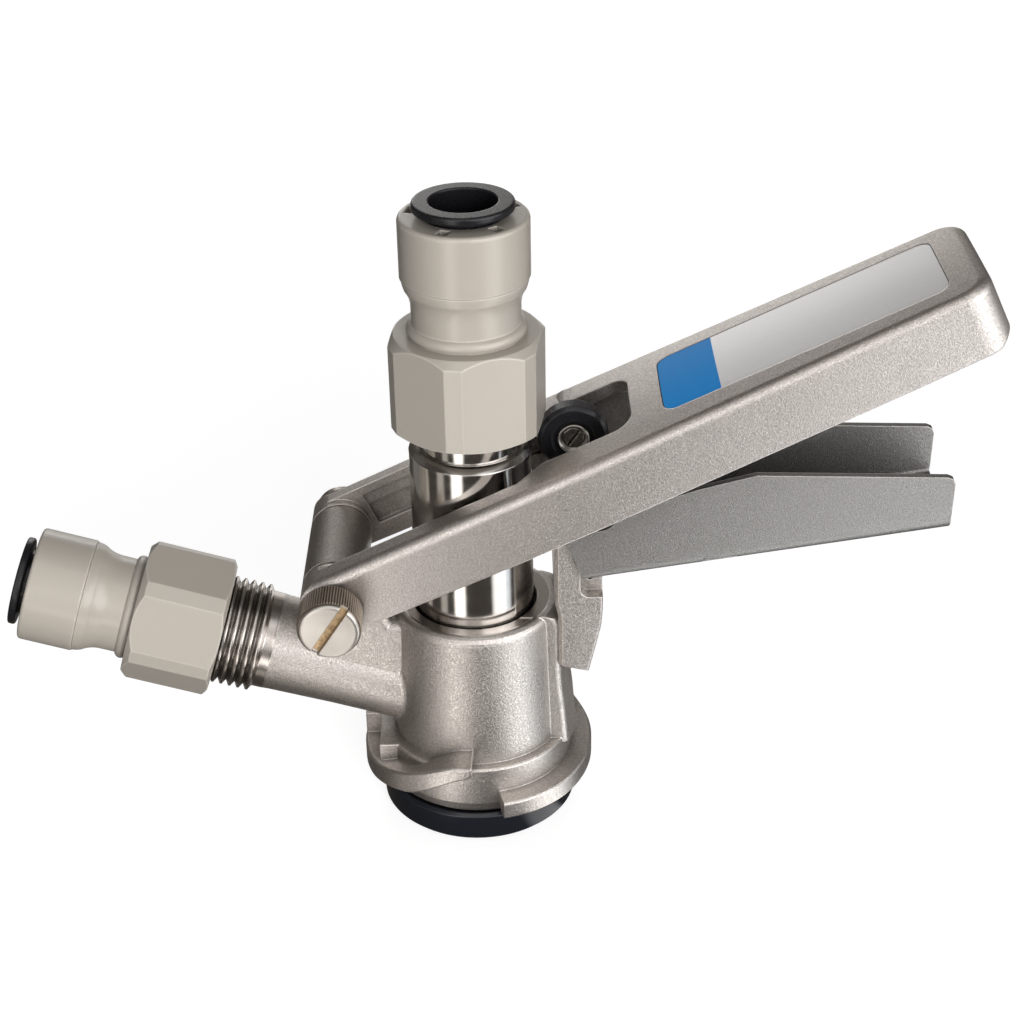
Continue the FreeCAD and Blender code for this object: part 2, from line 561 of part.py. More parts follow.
BUSH_R = PIN_R + BUSH_WALL
bush = turned([(PIN_R + RUN, BOSS_HALF + RUN), (EYE_R - 0.2, BOSS_HALF + RUN),
               (EYE_R - 0.2, BOSS_HALF + RUN + BUSH_FLANGE), (BUSH_R, BOSS_HALF + RUN + BUSH_FLANGE),
               (BUSH_R, ARM_HALF - 0.1), (PIN_R + RUN, ARM_HALF - 0.1)])
bush.rotate(V(0, 0, 0), V(1, 0, 0), -90)
bush.translate(V(PIVOT_X, 0, PIVOT_Z))
save("pivot_bushes", mirrored_pair(bush))


# Lever, drawn level in its own frame and then raised onto the hinge
def crown_rod(sink):
    """Long cylinder along the lever whose top is the crowned roof, sunk by a depth."""
    start = V(-LEVER_LENGTH, 0, LEVER_TOP + CROWN_RISE - CROWN_R)
    return Part.makeCylinder(CROWN_R - sink, 3 * LEVER_LENGTH, start, V(1, 0, 0))


plan = [(-8, -ARM_HALF), (58, -ARM_HALF), (LEVER_LENGTH, -END_HALF), (LEVER_LENGTH, END_HALF),
        (58, ARM_HALF), (-8, ARM_HALF)]
side = plate([(0, LEVER_LOW + 0.5), (36, LEVER_LOW - 0.1), (120, LEVER_LOW), (LEVER_LENGTH - 3, LEVER_LOW + 0.3),
              (LEVER_LENGTH, LEVER_LOW + 2.0), (LEVER_LENGTH, 12.0), (0, 12.0)], -25, 25)
side = side.fuse(rod(EYE_R, V(0, -25, 0), V(0, 25, 0)))
outer = slab(plan, -12, 12).common(side).common(crown_rod(0))
outer = rounded(outer, 6.0, lambda edge: along(edge, Z_AXIS, 0.2) and edge.CenterOfMass.x > LEVER_LENGTH - 2
                and abs(edge.CenterOfMass.y) > 10)
top_edges = [edge for edge in outer.Edges if edge.CenterOfMass.z > 4.5 and edge.CenterOfMass.x > 20
             and edge.Length > 5 and edge.BoundBox.ZLength < 6]
outer = outer.makeFillet(2.2, top_edges)
arms_gap = slab([(-12, -ARM_INNER), (44.5, -ARM_INNER), (WINDOW_FROM + 1, -WINDOW_HALF),
                 (WINDOW_FROM + 1, WINDOW_HALF), (44.5, ARM_INNER), (-12, ARM_INNER)], -14, 14)
window = block(WINDOW_FROM - 4, WINDOW_TO, -WINDOW_HALF, WINDOW_HALF, -14, 14)
window = rounded(window, 4.5, lambda edge: along(edge, Z_AXIS) and edge.CenterOfMass.x > WINDOW_TO - 1)
end_inner = END_HALF - WALL
hollow = slab([(WINDOW_FROM - 2, -ARM_INNER - 1.2), (58, -ARM_HALF + WALL), (LEVER_LENGTH - WALL, -end_inner),
               (LEVER_LENGTH - WALL, end_inner), (58, ARM_HALF - WALL), (WINDOW_FROM - 2, ARM_INNER + 1.2)],
              -14, LEVER_TOP - ROOF)
hollow = rounded(hollow, 2.0, lambda edge: edge.CenterOfMass.z > 0 and edge.CenterOfMass.x > WINDOW_FROM)
track = block(7.5, 46.0, -ARM_INNER - TRACK_DEEP, ARM_INNER + TRACK_DEEP, -2.8, 2.0)
ledge = block(7.5, 46.0, -ARM_INNER - 0.6, ARM_INNER + 0.6, -0.6, 4.6)
eye_boss = rod(EYE_R, V(0, BOSS_HALF + RUN + BUSH_FLANGE, 0), V(0, ARM_INNER + 1, 0))
roller_boss = rod(ROLLER_BOSS_R, V(ROLLER_S, ROLLER_NEAR_Y + ROLLER_W + 0.4, ROLLER_N), V(ROLLER_S, 16.5, ROLLER_N))
lever = outer.cut([arms_gap, window, hollow, track, ledge]).fuse([both_sides(eye_boss), roller_boss])
screw_hole = rod(ROLLER_SCREW_R + SNUG, V(ROLLER_S, 0, ROLLER_N), V(ROLLER_S, 14.0, ROLLER_N))
eye_hole = rod(BUSH_R + SNUG, V(0, -30, 0), V(0, 30, 0))
stud_reach = ARM_HALF - STUD_WALL
stud_hole = rod(STUD_R + 0.5 + SNUG, V(STUD_S, -stud_reach, STUD_N), V(STUD_S, stud_reach, STUD_N))
label_plan = slab([(LABEL_FROM, -LABEL_HALF), (LABEL_TO, -LABEL_HALF), (LABEL_TO, LABEL_HALF),
                   (LABEL_FROM, LABEL_HALF)], -4, 12)
label_plan = rounded(label_plan, 3.0, lambda edge: along(edge, Z_AXIS))
under_label = crown_rod(LABEL_DEEP)
lever = lever.cut([eye_hole, stud_hole, screw_hole, label_plan.cut(under_label)]).removeSplitter()
save("lever", to_lever(lever))

label_small = slab([(LABEL_FROM + 0.15, -LABEL_HALF + 0.15), (LABEL_TO - 0.15, -LABEL_HALF + 0.15),
                    (LABEL_TO - 0.15, LABEL_HALF - 0.15), (LABEL_FROM + 0.15, LABEL_HALF - 0.15)], 0, 12)
label_small = rounded(label_small, 2.85, lambda edge: along(edge, Z_AXIS))
save("label_plate", to_lever(label_small.common(crown_rod(0.1)).cut(crown_rod(LABEL_DEEP - SNUG))))

# Studs that carry the probe: pressed into the arms, with bronze rollers in the pockets
stud = turned([(0, 9.2), (STUD_R - 0.9, 9.2), (STUD_R - 0.9, ARM_INNER - 0.6), (STUD_R + 0.5, ARM_INNER - 0.6),
               (STUD_R + 0.5, stud_reach - 0.4), (STUD_R + 0.1, stud_reach - SNUG), (0, stud_reach - SNUG)])
stud.rotate(V(0, 0, 0), V(1, 0, 0), -90)
stud.translate(V(STUD_S, 0, STUD_N))
save("lever_studs", to_lever(mirrored_pair(stud)))
stud_bush = ring_of(STUD_R, STUD_R - 0.9 + SNUG, 9.2, ARM_INNER - 0.7)
stud_bush.rotate(V(0, 0, 0), V(1, 0, 0), -90)
stud_bush.translate(V(STUD_S, 0, STUD_N))
save("stud_bushes", to_lever(mirrored_pair(stud_bush)))


# Stop roller: black roller, steel bush and slotted screw
def on_roller_axis(shape):
    """From upright to the roller's axis on the lever, with z = 0 at the roller's near face."""
    moved = shape.copy()
    moved.rotate(V(0, 0, 0), V(1, 0, 0), -90)
    moved.translate(V(ROLLER_S, ROLLER_NEAR_Y, ROLLER_N))
    return to_lever(moved)


inner_r = ROLLER_BUSH_R + RUN
save("roller", on_roller_axis(turned([(inner_r, 0.9), (inner_r + 0.9, 0.9), (inner_r + 1.0, 0), (ROLLER_R - 0.7, 0),
                                      (ROLLER_R, 0.7), (ROLLER_R, ROLLER_W - 0.7), (ROLLER_R - 0.7, ROLLER_W),
                                      (inner_r, ROLLER_W)])))
save("roller_bush", on_roller_axis(turned([(ROLLER_SCREW_R + SNUG, 1.0), (2.7, 0.3), (ROLLER_BUSH_R - 0.2, 0.1),
                                           (ROLLER_BUSH_R, 0.3), (ROLLER_BUSH_R, ROLLER_W + 0.4 - SNUG),
                                           (ROLLER_SCREW_R + SNUG, ROLLER_W + 0.4 - SNUG)])))
roller_screw = Part.makeCylinder(ROLLER_SCREW_R, 12.0, V(0, 0, 0.9))
screw_slot = block(-3, 3, -0.3, 0.3, 0, 1.9)
screw_slot.rotate(V(0, 0, 0), Z_AXIS, LEVER_DEG - 56)
save("roller_screw", on_roller_axis(roller_screw.cut(screw_slot)))

# Lower grip: one bent sheet channel, open above, closed against the post
grip_line = [(GRIP_START_X, GRIP_START_Z), (GRIP_END_X - 0.9, GRIP_END_Z), (GRIP_END_X - 0.2, GRIP_END_Z + 0.7),
             (GRIP_END_X, GRIP_END_Z + 10.5), (GRIP_END_X - 0.4, GRIP_END_Z + 11.6),
             (GRIP_END_X - 1.5, GRIP_END_Z + 12.1), (56.4, 82.4), (50.0, 80.8), (45.0, 79.5), (40.0, 77.9),
             (29.0, 72.3), (22.0, GRIP_BACK_Z), (17.9, GRIP_BACK_Z), (19.3, 67.7), (22.0, 59.9)]
grip_half = POST_HALF + SHEET
grip = plate(grip_line, -grip_half, grip_half)
grip = rounded(grip, 2.4, lambda edge: abs(edge.CenterOfMass.y) > grip_half - 0.1 and 60 < edge.CenterOfMass.z < 66
               and edge.Length > 50)
rise = (GRIP_END_Z - GRIP_START_Z) / (GRIP_END_X - 0.9 - GRIP_START_X)
room_z = GRIP_START_Z + SHEET - 10 * rise
room_long = GRIP_END_X - GRIP_START_X + 20
grip_room = plate([(GRIP_START_X - 10, room_z), (GRIP_START_X - 10 + room_long, room_z + room_long * rise),
                   (GRIP_START_X - 10 + room_long, GRIP_END_Z + 25), (GRIP_START_X - 10, GRIP_END_Z + 25)],
                  -POST_HALF, POST_HALF)
grip_room = rounded(grip_room, 0.9, lambda edge: edge.CenterOfMass.z < 70 and edge.Length > 50)
web_end = block(GRIP_START_X - 13, POST_RIGHT, -POST_HALF, POST_HALF, GRIP_START_Z - 8, GRIP_START_Z + 22)
nick = both_sides(block(46.4, 53.2, grip_half - 0.9, grip_half + 1, 60.0, 63.9))
boss_room = rod(ROLLER_BOSS_R + GAP, V(saddle_x, -20, saddle_z), V(saddle_x, 20, saddle_z))
grip = grip.cut([grip_room, web_end, nick, boss_room])
tab = block(POST_RIGHT, POST_RIGHT + SHEET, -POST_HALF + 0.6, POST_HALF - 0.6, GRIP_START_Z + 1.4, SCREW_Z + 3.1)
tab = rounded(tab, 2.0, lambda edge: along(edge, V(1, 0, 0)) and edge.CenterOfMass.z > 65)
grip = grip.fuse(tab)
grip = grip.cut([rod(1.35, V(20, y, SCREW_Z), V(34, y, SCREW_Z)) for y in (-4.6, 4.6)])
save("lower_grip", grip.removeSplitter())

screws = []
for y in (-4.6, 4.6):
    x = POST_RIGHT + SHEET
    shank = rod(1.25, V(POST_RIGHT - 6.5, y, SCREW_Z), V(x, y, SCREW_Z))
    cap = turned([(0, 0), (2.2, 0), (2.2, 0.9), (1.9, 1.4), (1.3, 1.7), (0, 1.7)])
    drive = slab([(math.cos(math.radians(60 * i)), math.sin(math.radians(60 * i))) for i in range(6)], 0.6, 3)
    cap = cap.cut(drive)
    cap.rotate(V(0, 0, 0), Y_AXIS, 90)
    cap.translate(V(x, y, SCREW_Z))
    screws.append(shank.fuse(cap))
save("grip_screws", Part.makeCompound(screws))
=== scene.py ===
"""Looks of the keg coupler: camera, studio light and the finish of every piece."""
import math

import bmesh
import bpy
from mathutils import Euler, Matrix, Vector


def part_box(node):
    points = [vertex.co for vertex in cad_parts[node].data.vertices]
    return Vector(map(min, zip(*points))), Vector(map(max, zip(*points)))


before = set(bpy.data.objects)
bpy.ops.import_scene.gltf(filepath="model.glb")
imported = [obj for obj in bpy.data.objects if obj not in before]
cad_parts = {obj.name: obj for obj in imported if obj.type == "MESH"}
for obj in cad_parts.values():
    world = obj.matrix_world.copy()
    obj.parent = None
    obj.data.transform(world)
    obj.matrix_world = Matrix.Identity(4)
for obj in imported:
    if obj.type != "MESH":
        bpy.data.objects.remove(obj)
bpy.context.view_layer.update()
scene = bpy.context.scene

# Places on the part at rest, in metres, and angles in radians
HINGE = Vector((-0.0281, 0.0, 0.0578))
HINGE_BOSS_R = 0.00655
LEVER_TILT = math.radians(25.3)
ROLLER_ON_LEVER = (0.0557, 0.0034)
STUDS_ON_LEVER = (0.0286, 0.0026)
ARMS_END_X = 0.008
HOLLOW_START_X = 0.014
LABEL_BLUE_END = 0.0882
GRIP_TILT = 0.148
GRIP_SCREWS = (0.0264, 0.0, 0.0633)
INLET_TILT = math.radians(17.4)
INLET_HEIGHT = 0.0248
THREAD_ALONG_INLET = 0.0449
TURNED_TOP_Z = 0.0482
TURNED_TOP_R = 0.0160

# Knurled hinge screw: rim of its face, knurl, and slot
SCREW_FACE_R = 0.00608
KNURL_GROOVE_R = 0.00618
KNURL_RIDGE_R = 0.00634
SLOT_DEPTH = 0.0012
SLOT_R = 0.0057

# Turns that lay a finish's Z axis along the part's X or Y
ALONG_X = (0.0, math.pi / 2, 0.0)
ALONG_Y = (math.pi / 2, 0.0, 0.0)

# Light levels: diffuse light of the world, the floor's own grey and its glow to the camera
WORLD_LEVEL = 0.26
FLOOR_GREY = (0.42, 0.42, 0.42, 1.0)
FLOOR_GLOW = 0.79
WHITE = (1.0, 1.0, 1.0, 1.0)


def place_camera():
    """Camera fitted to the edges and circles that the photo shows."""
    data = bpy.data.cameras.new("photo_camera")
    data.sensor_width = 36.0
    data.lens = 69.534
    data.clip_start = 0.01
    data.clip_end = 20.0
    camera = bpy.data.objects.new("photo_camera", data)
    scene.collection.objects.link(camera)
    camera.location = (0.008160, -0.351177, 0.269578)
    camera.rotation_euler = Euler((math.radians(60.2072), math.radians(0.9067), math.radians(-0.5191)), "XYZ")
    scene.camera = camera


def on_lever(place):
    """Point from a distance along the lever and a height over its middle line, with the lever at rest."""
    along, over = place
    return (HINGE.x + along * math.cos(LEVER_TILT) - over * math.sin(LEVER_TILT), 0.0,
            HINGE.z + along * math.sin(LEVER_TILT) + over * math.cos(LEVER_TILT))


def shade(color, factor, most=1.0):
    """A colour made darker or lighter, with no part of it over the given most."""
    return tuple(min(most, factor * part) for part in color)


# Node building
def add(tree, kind, **values):
    """One shader node with its settings; names of inputs are given with underscores for spaces."""
    node = tree.nodes.new(kind)
    for name, value in values.items():
        if hasattr(node, name):
            setattr(node, name, value)
        else:
            node.inputs[name.replace("_", " ")].default_value = value
    return node


def join(tree, *pairs):
    """Links outputs to inputs, given in pairs."""
    for source, target in pairs:
        tree.links.new(source, target)


def fill(tree, node, rows):
    """Sets a node's inputs by number from numbers, colours or sockets."""
    for index, value in rows:
        if isinstance(value, (int, float)):
            node.inputs[index].default_value = value
        elif isinstance(value, tuple):
            node.inputs[index].default_value = (*value, 1.0)
        else:
            tree.links.new(value, node.inputs[index])


def calc(tree, operation, first, second=0.0):
    """Math node on sockets or numbers; gives its output."""
    node = add(tree, "ShaderNodeMath", operation=operation)
    fill(tree, node, ((0, first), (1, second)))
    return node.outputs[0]


def blend_colors(tree, share, first, second):
    """Mix node on colours or sockets; gives its colour output."""
    node = add(tree, "ShaderNodeMix", data_type="RGBA")
    fill(tree, node, ((0, share), (6, first), (7, second)))
    return node.outputs[2]


def blend_values(tree, share, first, second):
    """Mix node on numbers or sockets; gives its value."""
    node = add(tree, "ShaderNodeMix", data_type="FLOAT")
    fill(tree, node, ((0, share), (2, first), (3, second)))
    return node.outputs[0]


def tint(tree, mask, strength, first, second):
    """Blend from the first colour towards the second where a mask is, as far as the strength says."""
    return blend_colors(tree, calc(tree, "MULTIPLY", mask, strength), first, second)


def remap(tree, value, low, high, out_low=0.0, out_high=1.0, interpolation="LINEAR"):
    """Map Range node, clamped; gives its output."""
    node = add(tree, "ShaderNodeMapRange", interpolation_type=interpolation)
    fill(tree, node, ((0, value), (1, low), (2, high), (3, out_low), (4, out_high)))
    return node.outputs[0]


def flatten(tree, vector):
    """The vector without its Z part."""
    flat = add(tree, "ShaderNodeVectorMath", operation="MULTIPLY")
    flat.inputs[1].default_value = (1.0, 1.0, 0.0)
    join(tree, (vector, flat.inputs[0]))
    return flat.outputs[0]


def length(tree, vector):
    """Length of the vector."""
    node = add(tree, "ShaderNodeVectorMath", operation="LENGTH")
    join(tree, (vector, node.inputs[0]))
    return node.outputs["Value"]


def dot(tree, vector, aim):
    """How far the vector reaches in a fixed direction."""
    node = add(tree, "ShaderNodeVectorMath", operation="DOT_PRODUCT")
    node.inputs[1].default_value = aim
    join(tree, (vector, node.inputs[0]))
    return node.outputs["Value"]


def split(tree, vector):
    """The vector's X, Y and Z outputs by name."""
    parts = add(tree, "ShaderNodeSeparateXYZ")
    join(tree, (vector, parts.inputs["Vector"]))
    return parts.outputs


def new_group(name, inputs, outputs):
    """Empty shader group with float inputs, a Vector input first, and the named outputs."""
    group = bpy.data.node_groups.new(name, "ShaderNodeTree")
    group.interface.new_socket("Vector", in_out="INPUT", socket_type="NodeSocketVector")
    for label, value in inputs:
        socket = group.interface.new_socket(label, in_out="INPUT", socket_type="NodeSocketFloat")
        socket.default_value = value
    for label, kind in outputs:
        group.interface.new_socket(label, in_out="OUTPUT", socket_type=kind)
    return group, add(group, "NodeGroupInput"), add(group, "NodeGroupOutput")


# Shared effects
def blasted_grain_group():
    """Winding dimples of a blasted casting, fine speckle and slow mottling."""
    group, given, result = new_group("blasted_grain", (("Grain", 1900.0), ("Speckle", 2600.0)),
                                     (("Height", "NodeSocketFloat"), ("Tone", "NodeSocketFloat"),
                                      ("Patch", "NodeSocketFloat")))
    vector = given.outputs["Vector"]
    winding = add(group, "ShaderNodeTexNoise", Detail=1.5, Roughness=0.5, Distortion=0.8)
    speck = add(group, "ShaderNodeTexNoise", Detail=2.0, Roughness=0.65)
    slow = add(group, "ShaderNodeTexNoise", Scale=70.0, Detail=3.0)
    join(group, (vector, winding.inputs["Vector"]), (vector, speck.inputs["Vector"]),
         (vector, slow.inputs["Vector"]), (given.outputs["Grain"], winding.inputs["Scale"]),
         (given.outputs["Speckle"], speck.inputs["Scale"]))
    ridge = calc(group, "ABSOLUTE", calc(group, "SUBTRACT", winding.outputs["Fac"], 0.5))
    groove = remap(group, ridge, 0.0, 0.13)
    height = calc(group, "ADD", calc(group, "MULTIPLY", groove, 0.6),
                  calc(group, "MULTIPLY", speck.outputs["Fac"], 0.9))
    grains = remap(group, speck.outputs["Fac"], 0.34, 0.66)
    tone = calc(group, "ADD", calc(group, "MULTIPLY", grains, 0.6), calc(group, "MULTIPLY", groove, 0.4))
    join(group, (height, result.inputs["Height"]), (tone, result.inputs["Tone"]),
         (remap(group, slow.outputs["Fac"], 0.35, 0.65), result.inputs["Patch"]))
    return group


def bevel_and_edge_highlight_group():
    """Rounded shading normals and a mask of the outer edges, along which the finishes paint a highlight."""
    group, given, result = new_group("bevel_and_edge_highlight", (("Width", 0.0005),),
                                     (("Normal", "NodeSocketVector"), ("Edge", "NodeSocketFloat")))
    bevel = add(group, "ShaderNodeBevel", samples=6)
    shape = add(group, "ShaderNodeNewGeometry")
    facing = add(group, "ShaderNodeVectorMath", operation="DOT_PRODUCT")
    join(group, (given.outputs["Width"], bevel.inputs["Radius"]), (bevel.outputs["Normal"], facing.inputs[0]),
         (shape.outputs["Normal"], facing.inputs[1]), (bevel.outputs["Normal"], result.inputs["Normal"]),
         (remap(group, facing.outputs["Value"], 0.995, 0.93), result.inputs["Edge"]))
    return group


def painted_shade_group():
    """Mask of painted shade in corners and recesses: ambient occlusion, broken up by a fine speckle."""
    group, given, result = new_group("painted_shade", (("Reach", 0.004),), (("Depth", "NodeSocketFloat"),))
    shadow = add(group, "ShaderNodeAmbientOcclusion", samples=8)
    speck = add(group, "ShaderNodeTexNoise", Scale=900.0, Detail=2.0)
    join(group, (given.outputs["Reach"], shadow.inputs["Distance"]),
         (given.outputs["Vector"], speck.inputs["Vector"]))
    dark = remap(group, shadow.outputs["AO"], 0.85, 0.25)
    broken = calc(group, "MULTIPLY", dark, remap(group, speck.outputs["Fac"], 0.3, 0.7, 0.75, 1.0))
    join(group, (broken, result.inputs["Depth"]))
    return group


def streaks_group():
    """Long fine rolling lines along the X direction of the given vector."""
    group, given, result = new_group("streaks", (("Fineness", 2600.0), ("Stretch", 0.02)),
                                     (("Tone", "NodeSocketFloat"),))
    squeeze = add(group, "ShaderNodeCombineXYZ", Y=1.0, Z=1.0)
    pulled = add(group, "ShaderNodeVectorMath", operation="MULTIPLY")
    lines = add(group, "ShaderNodeTexNoise", Detail=3.0, Roughness=0.7)
    broad = add(group, "ShaderNodeTexNoise", Detail=1.0)
    join(group, (given.outputs["Stretch"], squeeze.inputs["X"]), (given.outputs["Vector"], pulled.inputs[0]),
         (squeeze.outputs["Vector"], pulled.inputs[1]), (pulled.outputs["Vector"], lines.inputs["Vector"]),
         (pulled.outputs["Vector"], broad.inputs["Vector"]), (given.outputs["Fineness"], lines.inputs["Scale"]),
         (calc(group, "MULTIPLY", given.outputs["Fineness"], 0.12), broad.inputs["Scale"]))
    tone = calc(group, "ADD", calc(group, "MULTIPLY", lines.outputs["Fac"], 0.65),
                calc(group, "MULTIPLY", broad.outputs["Fac"], 0.35))
    join(group, (remap(group, tone, 0.35, 0.65), result.inputs["Tone"]))
    return group


def lathe_group():
    """Fine turned rings about the Z axis of the given vector, bands along it, and a painted sheen round it:
    light and dark sectors that stand in for the highlights of brushing.
    """
    group, given, result = new_group("lathe_lines", (("Fineness", 5200.0), ("Turn", 0.0)),
                                     (("Height", "NodeSocketFloat"), ("Tone", "NodeSocketFloat"),
                                      ("Painted_Sheen", "NodeSocketFloat"), ("Radius", "NodeSocketFloat")))
    parts = split(group, given.outputs["Vector"])
    radius = length(group, flatten(group, given.outputs["Vector"]))
    place = add(group, "ShaderNodeCombineXYZ")
    rings = add(group, "ShaderNodeTexNoise", Detail=3.0, Roughness=0.65)
    bands = add(group, "ShaderNodeTexNoise", Scale=420.0, Detail=2.0)
    join(group, (radius, place.inputs["X"]), (parts["Z"], place.inputs["Y"]),
         (place.outputs["Vector"], rings.inputs["Vector"]), (place.outputs["Vector"], bands.inputs["Vector"]),
         (given.outputs["Fineness"], rings.inputs["Scale"]), (rings.outputs["Fac"], result.inputs["Height"]),
         (remap(group, bands.outputs["Fac"], 0.3, 0.7), result.inputs["Tone"]), (radius, result.inputs["Radius"]))
    twice = calc(group, "MULTIPLY", calc(group, "ARCTAN2", parts["Y"], parts["X"]), 2.0)
    wave = calc(group, "COSINE", calc(group, "ADD", twice, given.outputs["Turn"]))
    join(group, (remap(group, wave, -1.0, 1.0), result.inputs["Painted_Sheen"]))
    return group


GRAIN = blasted_grain_group()
EDGE = bevel_and_edge_highlight_group()
PAINTED_SHADE = painted_shade_group()
STREAKS = streaks_group()
LATHE = lathe_group()


class Finish:
    """A material with a Principled shader, object coordinates and the shared groups at hand."""

    def __init__(self, name, **sockets):
        self.material = bpy.data.materials.new(name)
        self.material.use_nodes = True
        self.tree = self.material.node_tree
        self.shader = self.tree.nodes["Principled BSDF"]
        self.coords = add(self.tree, "ShaderNodeTexCoord").outputs["Object"]
        for label, value in sockets.items():
            self.shader.inputs[label.replace("_", " ")].default_value = value

    def effect(self, group, vector=None, **values):
        """Places a shared group and gives its outputs."""
        node = add(self.tree, "ShaderNodeGroup", node_tree=group)
        for label, value in values.items():
            node.inputs[label].default_value = value
        join(self.tree, (vector or self.coords, node.inputs["Vector"]))
        return node.outputs

    def turned_coords(self, centre, angles):
        """Coordinates about a centre, turned so that their Z runs along a piece's axis."""
        shift = add(self.tree, "ShaderNodeVectorMath", operation="SUBTRACT")
        shift.inputs[1].default_value = centre
        turn = add(self.tree, "ShaderNodeVectorRotate", rotation_type="EULER_XYZ", invert=True)
        turn.inputs["Rotation"].default_value = angles
        join(self.tree, (self.coords, shift.inputs[0]), (shift.outputs[0], turn.inputs["Vector"]))
        return turn.outputs[0]

    def bump(self, height, depth, normal=None):
        """Bump from a height in metres to the shader's normal."""
        node = add(self.tree, "ShaderNodeBump", Distance=depth)
        join(self.tree, (height, node.inputs["Height"]), (node.outputs["Normal"], self.shader.inputs["Normal"]))
        if normal is not None:
            join(self.tree, (normal, node.inputs["Normal"]))

    def link(self, label, socket):
        """Feeds one of the shader's sockets."""
        join(self.tree, (socket, self.shader.inputs[label]))


# Zones of a finish
def machined_zones(finish):
    """Mask of the inlet's thread and of the barrel's turned top, where the casting is machined."""
    tree = finish.tree
    along = dot(tree, finish.coords, (-math.cos(INLET_TILT), 0.0, math.sin(INLET_TILT)))
    start = THREAD_ALONG_INLET + INLET_HEIGHT * math.sin(INLET_TILT)
    thread = remap(tree, along, start, start + 0.0004)
    above = remap(tree, split(tree, finish.coords)["Z"], TURNED_TOP_Z, TURNED_TOP_Z + 0.0003)
    radius = length(tree, flatten(tree, finish.coords))
    inside = remap(tree, radius, TURNED_TOP_R, TURNED_TOP_R - 0.0004)
    return calc(tree, "MAXIMUM", thread, calc(tree, "MULTIPLY", above, inside))


def hinge_zone(finish, reach):
    """Mask of what lies within a radius of the hinge axis."""
    tree = finish.tree
    place = finish.turned_coords(tuple(HINGE), ALONG_Y)
    return remap(tree, length(tree, flatten(tree, place)), reach + 0.00015, reach - 0.00015)


def cast_steel(name, base, light, grain, speckle, depth, edge_highlight_share, machined=False, shade_inside=False):
    """Blasted stainless casting: speckled, with a painted highlight along its edges and painted shade in its
    corners.

    A machined one is smoother on its thread and turned top, and its ground hinge boss is painted darker to stand
    in for its darker reflection; the hollow one gets painted shade inside, more so beyond its arms.
    """
    finish = Finish(name, Metallic=1.0)
    tree = finish.tree
    surface = finish.effect(GRAIN, Grain=grain, Speckle=speckle)
    edge = finish.effect(EDGE, Width=0.0004)
    painted_shade = finish.effect(PAINTED_SHADE, Reach=0.0028)
    speckled = blend_colors(tree, surface["Tone"], shade(base, 0.66), light)
    color = tint(tree, surface["Patch"], 0.3, speckled, base)
    rough = remap(tree, surface["Tone"], 0.0, 1.0, 0.50, 0.34)
    height = surface["Height"]
    # Painted shade: a broad occlusion mask darkens the inside of the hollow lever, more so beyond its arms.
    if shade_inside:
        inside = finish.effect(PAINTED_SHADE, Reach=0.022)
        beyond = remap(tree, split(tree, finish.coords)["X"], ARMS_END_X, HOLLOW_START_X, 0.3, 0.95)
        color = tint(tree, inside["Depth"], beyond, color, (0.055, 0.047, 0.040))
    if machined:
        zone = machined_zones(finish)
        color = tint(tree, zone, 0.85, color, shade(base, 0.92))
        rough = blend_values(tree, zone, rough, 0.24)
        height = calc(tree, "MULTIPLY", height, blend_values(tree, zone, 1.0, 0.1))
        # Painted shade: the hinge boss is coloured darker to stand in for the darker reflection of its ground
        # surface.
        color = tint(tree, hinge_zone(finish, HINGE_BOSS_R), 0.66, color, (0.20, 0.175, 0.157))
    # Painted highlight: a lighter colour along the outer edges.
    edge_highlighted = tint(tree, edge["Edge"], edge_highlight_share, color, shade(light, 1.25, 0.92))
    # Painted shade: corners and recesses darkened.
    finish.link("Base Color", tint(tree, painted_shade["Depth"], 0.85, edge_highlighted, shade(base, 0.26)))
    finish.link("Roughness", calc(tree, "SUBTRACT", rough, calc(tree, "MULTIPLY", edge["Edge"], 0.10)))
    finish.bump(height, depth, edge["Normal"])
    return finish.material


def sheet_steel():
    """Rolled sheet: fine matte grain, faint rolling lines, painted highlight on its edges and painted shade
    inside.
    """
    finish = Finish("sheet_steel", Metallic=1.0)
    tree = finish.tree
    along = finish.turned_coords((0.0, 0.0, 0.0), (0.0, -GRIP_TILT, 0.0))
    lines = finish.effect(STREAKS, along, Fineness=1500.0, Stretch=0.06)
    surface = finish.effect(GRAIN, Grain=2600.0, Speckle=3000.0)
    edge = finish.effect(EDGE, Width=0.0003)
    painted_shade = finish.effect(PAINTED_SHADE, Reach=0.018)
    speckled = blend_colors(tree, surface["Tone"], (0.24, 0.233, 0.225), (0.37, 0.361, 0.349))
    lined = tint(tree, lines["Tone"], 0.3, speckled, (0.30, 0.293, 0.283))
    # Painted highlight: a lighter colour along the outer edges.
    edge_highlighted = tint(tree, edge["Edge"], 0.6, lined, (0.72, 0.71, 0.69))
    # Painted shade: corners and the grip's inside darkened by a broad occlusion mask.
    finish.link("Base Color", tint(tree, painted_shade["Depth"], 0.9, edge_highlighted, (0.05, 0.049, 0.046)))
    finish.link("Roughness", remap(tree, surface["Tone"], 0.0, 1.0, 0.52, 0.40))
    finish.bump(surface["Height"], 0.00003, edge["Normal"])
    return finish.material


def polished_steel():
    """Mirror-polished turned tube with faint rings and painted shade in its corners."""
    finish = Finish("polished_steel", Metallic=1.0)
    tree = finish.tree
    rings = finish.effect(LATHE, Fineness=4200.0)
    edge = finish.effect(EDGE, Width=0.0003)
    painted_shade = finish.effect(PAINTED_SHADE, Reach=0.002)
    toned = blend_colors(tree, rings["Tone"], (0.59, 0.565, 0.54), (0.65, 0.63, 0.605))
    # Painted shade: corners and recesses darkened.
    finish.link("Base Color", tint(tree, painted_shade["Depth"], 0.6, toned, (0.16, 0.14, 0.12)))
    finish.link("Roughness", remap(tree, rings["Tone"], 0.0, 1.0, 0.10, 0.16))
    finish.bump(rings["Height"], 0.000004, edge["Normal"])
    return finish.material


